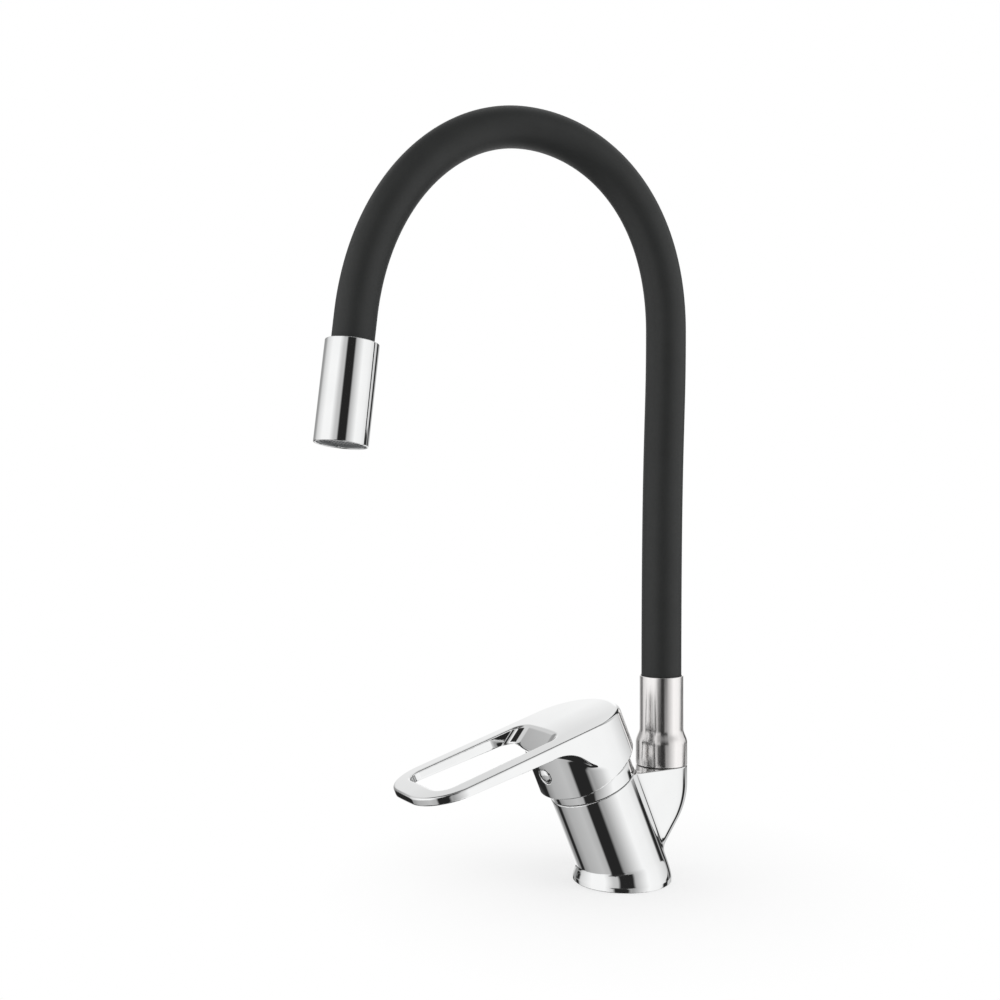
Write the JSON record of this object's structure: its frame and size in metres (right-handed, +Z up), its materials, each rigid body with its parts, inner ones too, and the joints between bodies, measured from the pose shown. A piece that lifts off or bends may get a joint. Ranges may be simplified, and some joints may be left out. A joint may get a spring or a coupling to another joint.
{
  "type": "flexible kitchen faucet",
  "caption": "Single-lever deck mixer: chrome leaning body with a flat loop handle, brushed sleeve and a swivelling black silicone gooseneck spout with a chrome aerator head.",
  "frame": {"origin": "centre of the round foot's underside, in the plane of the deck that the tap stands on", "axes": "+Z up, -Y the way that the lever points, +X to the right hand of a person who stands in front of the lever"},
  "size_m": [0.0685, 0.2021, 0.4031],
  "materials": {
    "chrome": "polished",
    "satin_steel": "brushed, satin",
    "brass": "machined",
    "steel": "plain stainless steel",
    "black_rubber": "matt",
    "black_silicone": "matt silicone",
    "ceramic": "lapped ceramic",
    "white_plastic": "moulded",
    "grey_plastic": "moulded"
  },
  "bodies": {
    "faucet_body": {"mixer_body": "chrome", "base_gasket": "black_rubber", "cartridge_base": "white_plastic", "port_seal_left": "black_rubber", "port_seal_right": "black_rubber", "port_seal_outlet": "black_rubber", "fixed_ceramic_disc": "ceramic", "cartridge_housing": "white_plastic", "cartridge_nut": "brass", "trim_ring": "chrome", "glide_washer": "white_plastic"},
    "carrier": {"cartridge_carrier": "grey_plastic", "stem_pin": "steel"},
    "disc": {"moving_ceramic_disc": "ceramic"},
    "lever": {"handle": "chrome", "lever_stem": "steel", "handle_grub_screw": "steel", "index_cap": "chrome"},
    "spout_foot": {"swivel_nipple": "brass", "nipple_oring_lower": "black_rubber", "nipple_oring_upper": "black_rubber", "retaining_clip": "steel", "lower_sleeve": "satin_steel", "lower_hose_tail": "brass", "silicone_sleeve": "black_silicone", "water_hose": "white_plastic"},
    "link_01": {"gooseneck_link_01": "steel"},
    "link_02": {"gooseneck_link_02": "steel"},
    "link_03": {"gooseneck_link_03": "steel"},
    "link_04": {"gooseneck_link_04": "steel"},
    "link_05": {"gooseneck_link_05": "steel"},
    "link_06": {"gooseneck_link_06": "steel"},
    "link_07": {"gooseneck_link_07": "steel"},
    "link_08": {"gooseneck_link_08": "steel"},
    "link_09": {"gooseneck_link_09": "steel"},
    "link_10": {"gooseneck_link_10": "steel"},
    "link_11": {"gooseneck_link_11": "steel"},
    "link_12": {"gooseneck_link_12": "steel"},
    "link_13": {"gooseneck_link_13": "steel"},
    "link_14": {"gooseneck_link_14": "steel"},
    "link_15": {"gooseneck_link_15": "steel"},
    "link_16": {"gooseneck_link_16": "steel"},
    "head": {"upper_hose_tail": "brass", "head_shell": "chrome", "aerator_housing": "grey_plastic", "aerator_seal": "black_rubber", "flow_insert": "grey_plastic"}
  },
  "joints": [
    {"name": "handle_turn", "type": "hinge", "parent": "faucet_body", "child": "carrier", "pos_m": [0, 0.0036, 0], "axis": [0, -0.3931, 0.9195], "range_deg": [-50, 50]},
    {"name": "handle_lift", "type": "hinge", "parent": "carrier", "child": "lever", "pos_m": [0, -0.01684, 0.04781], "axis": [-1, 0, 0], "range_deg": [0, 24]},
    {"name": "disc_slide", "type": "slide", "parent": "carrier", "child": "disc", "axis": [0, -0.9195, -0.3931], "range_m": [0, 0.0033]},
    {"name": "spout_swivel", "type": "hinge", "parent": "faucet_body", "child": "spout_foot", "pos_m": [0, 0.026, 0], "axis": [0, 0, 1], "continuous": true},
    {"name": "stem_lean", "type": "hinge", "parent": "spout_foot", "child": "link_01", "pos_m": [0.00001, 0.02602, 0.11888], "axis": [0.9799, -0.1994, 0], "range_deg": [-12, 12], "deforming": ["silicone_sleeve", "water_hose"]},
    {"name": "stem_sway", "type": "hinge", "parent": "link_01", "child": "link_02", "pos_m": [0.00005, 0.02622, 0.16039], "axis": [0.1994, 0.9798, -0.0129], "range_deg": [-12, 12], "deforming": ["silicone_sleeve", "water_hose"]},
    {"name": "stem_lean_upper", "type": "hinge", "parent": "link_02", "child": "link_03", "pos_m": [0.00015, 0.02675, 0.2019], "axis": [0.9799, -0.1994, 0], "range_deg": [-12, 12]},
    {"name": "stem_sway_upper", "type": "hinge", "parent": "link_03", "child": "link_04", "pos_m": [0.00037, 0.02782, 0.2434], "axis": [0.1993, 0.9797, -0.02], "range_deg": [-12, 12]},
    {"name": "arch_bend", "type": "hinge", "parent": "link_04", "child": "link_05", "pos_m": [0.00054, 0.02864, 0.2849], "axis": [0.9799, -0.1994, 0], "range_deg": [-3.81, 0.76], "deforming": ["silicone_sleeve", "water_hose"]},
    {"name": "arch_bend_02", "type": "hinge", "parent": "link_05", "child": "link_06", "pos_m": [0.0003, 0.0275, 0.30982], "axis": [0.9799, -0.1994, 0], "range_deg": [-9.94, 2]},
    {"name": "arch_bend_03", "type": "hinge", "parent": "link_06", "child": "link_07", "pos_m": [-0.00078, 0.02217, 0.33415], "axis": [0.9799, -0.1994, 0], "range_deg": [-13.04, 2.62]},
    {"name": "arch_bend_04", "type": "hinge", "parent": "link_07", "child": "link_08", "pos_m": [-0.00293, 0.01162, 0.35659], "axis": [0.9799, -0.1994, 0], "range_deg": [-16.05, 3.22]},
    {"name": "arch_bend_05", "type": "hinge", "parent": "link_08", "child": "link_09", "pos_m": [-0.00622, -0.00458, 0.37518], "axis": [0.9799, -0.1994, 0], "range_deg": [-18.09, 3.63]},
    {"name": "arch_bend_06", "type": "hinge", "parent": "link_09", "child": "link_10", "pos_m": [-0.0105, -0.02562, 0.3877], "axis": [0.9799, -0.1994, 0], "range_deg": [-18.79, 3.77]},
    {"name": "arch_bend_07", "type": "hinge", "parent": "link_10", "child": "link_11", "pos_m": [-0.01536, -0.04949, 0.39265], "axis": [0.9801, -0.1987, 0.0035], "range_deg": [-20.13, 4.04]},
    {"name": "arch_bend_08", "type": "hinge", "parent": "link_11", "child": "link_12", "pos_m": [-0.02022, -0.07354, 0.38892], "axis": [0.9792, -0.2016, 0.0235], "range_deg": [-20.05, 4.02]},
    {"name": "arch_bend_09", "type": "hinge", "parent": "link_12", "child": "link_13", "pos_m": [-0.02434, -0.09496, 0.37699], "axis": [0.9756, -0.2145, 0.0479], "range_deg": [-16.33, 3.27]},
    {"name": "arch_bend_10", "type": "hinge", "parent": "link_13", "child": "link_14", "pos_m": [-0.0273, -0.11233, 0.3594], "axis": [0.9701, -0.233, 0.0671], "range_deg": [-13.16, 2.64]},
    {"name": "arch_bend_11", "type": "hinge", "parent": "link_14", "child": "link_15", "pos_m": [-0.02898, -0.12541, 0.33825], "axis": [0.9642, -0.2528, 0.0798], "range_deg": [-10.93, 2.19]},
    {"name": "arch_bend_12", "type": "hinge", "parent": "link_15", "child": "link_16", "pos_m": [-0.02942, -0.13443, 0.31501], "axis": [0.9586, -0.271, 0.087], "range_deg": [-9.37, 1.88]},
    {"name": "arch_bend_13", "type": "hinge", "parent": "link_16", "child": "head", "pos_m": [-0.0287, -0.13971, 0.29064], "axis": [0.9552, -0.2821, 0.0893], "range_deg": [-4.28, 0.86]}
  ],
  "couplings": [
    {"joint": "disc_slide", "follows": "handle_lift", "m_per_rad": 0.007671},
    {"joint": "stem_lean_upper", "follows": "stem_lean", "ratio": 1},
    {"joint": "stem_sway_upper", "follows": "stem_sway", "ratio": 1},
    {"joint": "arch_bend_02", "follows": "arch_bend", "ratio": 2.603},
    {"joint": "arch_bend_03", "follows": "arch_bend", "ratio": 3.4158},
    {"joint": "arch_bend_04", "follows": "arch_bend", "ratio": 4.2045},
    {"joint": "arch_bend_05", "follows": "arch_bend", "ratio": 4.7399},
    {"joint": "arch_bend_06", "follows": "arch_bend", "ratio": 4.9229},
    {"joint": "arch_bend_07", "follows": "arch_bend", "ratio": 5.2764},
    {"joint": "arch_bend_08", "follows": "arch_bend", "ratio": 5.2549},
    {"joint": "arch_bend_09", "follows": "arch_bend", "ratio": 4.2782},
    {"joint": "arch_bend_10", "follows": "arch_bend", "ratio": 3.4491},
    {"joint": "arch_bend_11", "follows": "arch_bend", "ratio": 2.8637},
    {"joint": "arch_bend_12", "follows": "arch_bend", "ratio": 2.4541},
    {"joint": "arch_bend_13", "follows": "arch_bend", "ratio": 1.1201}
  ]
}
